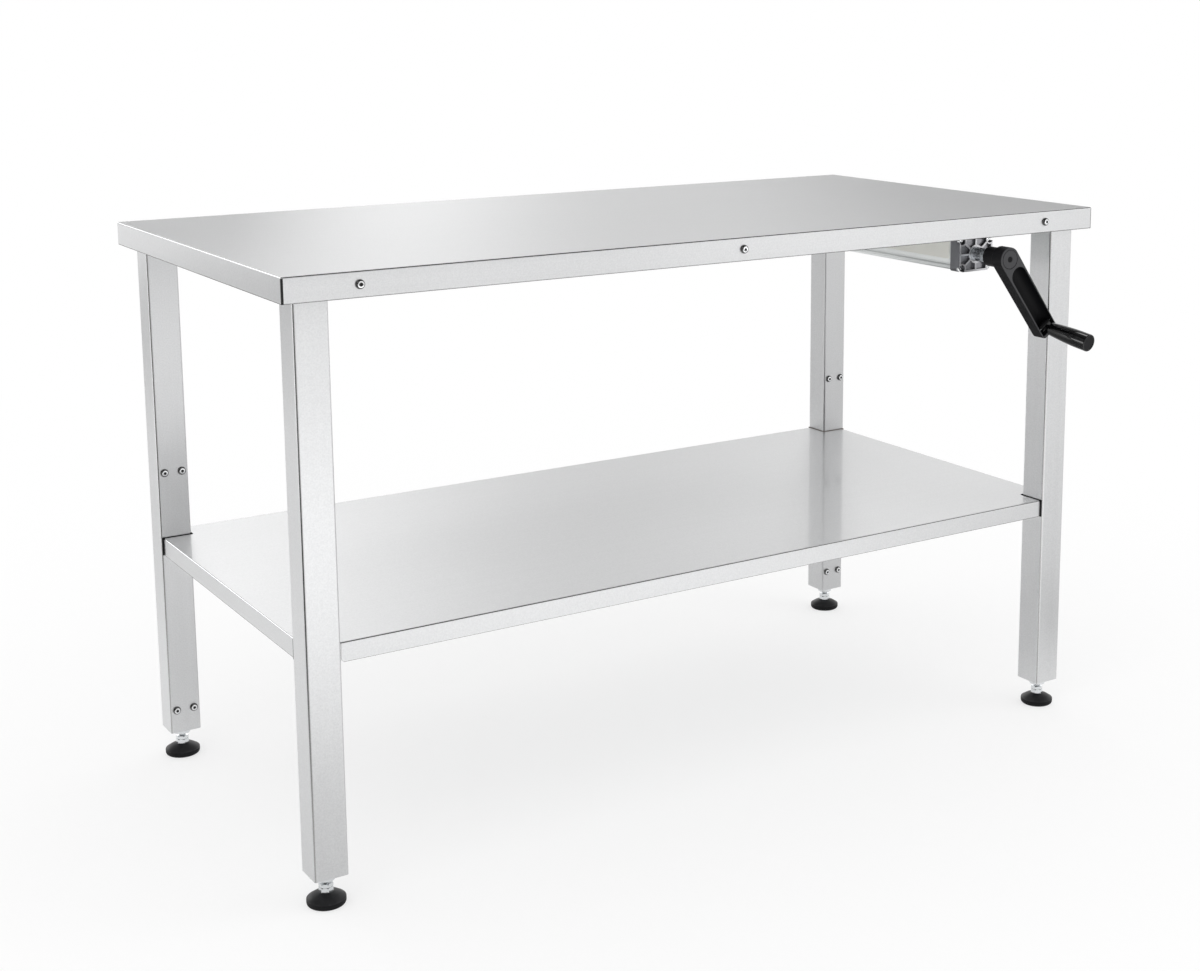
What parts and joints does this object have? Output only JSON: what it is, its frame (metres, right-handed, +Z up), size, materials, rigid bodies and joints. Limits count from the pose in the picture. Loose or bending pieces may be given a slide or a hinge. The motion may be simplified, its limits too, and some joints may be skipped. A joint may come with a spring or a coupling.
{
  "type": "instrument table",
  "caption": "Height-adjustable stainless instrument table: folded top and lower shelf on square telescoping legs with levelling feet, raised by a folding hand crank and pump under the top.",
  "frame": {"origin": "on the floor under the middle of the table top", "axes": "+X along the top's length towards the crank's end, +Y from the crank side to the rear, +Z up"},
  "size_m": [1.524, 0.8922, 0.943],
  "materials": {
    "stainless": "satin brushed stainless",
    "zinc": "bright zinc plate",
    "chrome": "polished hard chrome",
    "aluminium": "clear anodised extrusion",
    "die_cast": "dark grey die casting",
    "crank_black": "satin black moulding",
    "grip_black": "gloss black moulding",
    "rubber": "black rubber"
  },
  "bodies": {
    "foot_front_left": {"foot_pad_front_left": "rubber", "foot_stud_front_left": "zinc", "jam_nut_front_left": "zinc"},
    "rod_front_left": {"piston_rod_front_left": "chrome"},
    "frame": {"tabletop": "stainless", "front_rail": "stainless", "rear_rail": "stainless", "left_rail": "stainless", "right_rail": "stainless", "stiffener_left": "stainless", "stiffener_middle": "stainless", "pump_carrier": "stainless", "skirt_bolt_1": "zinc", "skirt_bolt_2": "zinc", "skirt_bolt_3": "zinc", "skirt_bolt_4": "zinc", "skirt_bolt_5": "zinc", "skirt_bolt_6": "zinc", "leg_front_left": "stainless", "leg_front_right": "stainless", "leg_rear_left": "stainless", "leg_rear_right": "stainless", "lift_cylinder_front_left": "zinc", "lift_cylinder_front_right": "zinc", "lift_cylinder_rear_left": "zinc", "lift_cylinder_rear_right": "zinc", "shelf": "stainless", "shelf_stiffener": "stainless", "shelf_bracket_front_left": "stainless", "shelf_bracket_front_right": "stainless", "shelf_bracket_rear_left": "stainless", "shelf_bracket_rear_right": "stainless", "pump_housing": "aluminium", "pump_hanger_front": "aluminium", "pump_hanger_rear": "aluminium", "pump_front_cap": "die_cast", "pump_rear_cap": "die_cast", "pump_cylinder_block": "aluminium", "shaft_bearing": "zinc"},
    "rod_front_right": {"piston_rod_front_right": "chrome"},
    "rod_rear_left": {"piston_rod_rear_left": "chrome"},
    "rod_rear_right": {"piston_rod_rear_right": "chrome"},
    "foot_front_right": {"foot_pad_front_right": "rubber", "foot_stud_front_right": "zinc", "jam_nut_front_right": "zinc"},
    "foot_rear_left": {"foot_pad_rear_left": "rubber", "foot_stud_rear_left": "zinc", "jam_nut_rear_left": "zinc"},
    "foot_rear_right": {"foot_pad_rear_right": "rubber", "foot_stud_rear_right": "zinc", "jam_nut_rear_right": "zinc"},
    "crank": {"crank_arm": "crank_black", "crank_hub_screw": "crank_black", "pump_spindle": "zinc", "handle_hinge_pin": "zinc"},
    "handle": {"handle_knuckle": "crank_black"},
    "grip": {"handle_grip": "grip_black"},
    "carriage": {"pump_carriage": "zinc"}
  },
  "joints": [
    {"name": "level_front_left", "type": "slide", "parent": "foot_front_left", "child": "rod_front_left", "axis": [0, 0, 1], "range_m": [0, 0.02]},
    {"name": "lift", "type": "slide", "parent": "rod_front_left", "child": "frame", "axis": [0, 0, 1], "range_m": [0, 0.305]},
    {"name": "lift_front_right", "type": "slide", "parent": "frame", "child": "rod_front_right", "axis": [0, 0, -1], "range_m": [0, 0.305]},
    {"name": "lift_rear_left", "type": "slide", "parent": "frame", "child": "rod_rear_left", "axis": [0, 0, -1], "range_m": [0, 0.305]},
    {"name": "lift_rear_right", "type": "slide", "parent": "frame", "child": "rod_rear_right", "axis": [0, 0, -1], "range_m": [0, 0.305]},
    {"name": "level_front_right", "type": "slide", "parent": "rod_front_right", "child": "foot_front_right", "axis": [0, 0, -1], "range_m": [0, 0.02]},
    {"name": "level_rear_left", "type": "slide", "parent": "rod_rear_left", "child": "foot_rear_left", "axis": [0, 0, -1], "range_m": [0, 0.02]},
    {"name": "level_rear_right", "type": "slide", "parent": "rod_rear_right", "child": "foot_rear_right", "axis": [0, 0, -1], "range_m": [0, 0.02]},
    {"name": "crank_turn", "type": "hinge", "parent": "frame", "child": "crank", "pos_m": [0.536, -0.414, 0.8692], "axis": [0, 1, 0], "range_deg": [0, 14641]},
    {"name": "pump_feed", "type": "slide", "parent": "frame", "child": "carriage", "axis": [0, 1, 0], "range_m": [0, 0.2034]},
    {"name": "handle_fold", "type": "hinge", "parent": "crank", "child": "handle", "pos_m": [0.62924, -0.404, 0.74227], "axis": [-0.8059, 0, -0.592], "range_deg": [0, 98]},
    {"name": "grip_spin", "type": "hinge", "parent": "handle", "child": "grip", "pos_m": [0.62924, -0.404, 0.74227], "axis": [0.1231, -0.9781, -0.1676], "continuous": true}
  ],
  "couplings": [
    {"joint": "lift_front_right", "follows": "lift", "ratio": 1},
    {"joint": "lift_rear_left", "follows": "lift", "ratio": 1},
    {"joint": "lift_rear_right", "follows": "lift", "ratio": 1},
    {"joint": "crank_turn", "follows": "lift", "rad_per_m": 837.76},
    {"joint": "pump_feed", "follows": "lift", "ratio": 0.66667}
  ]
}
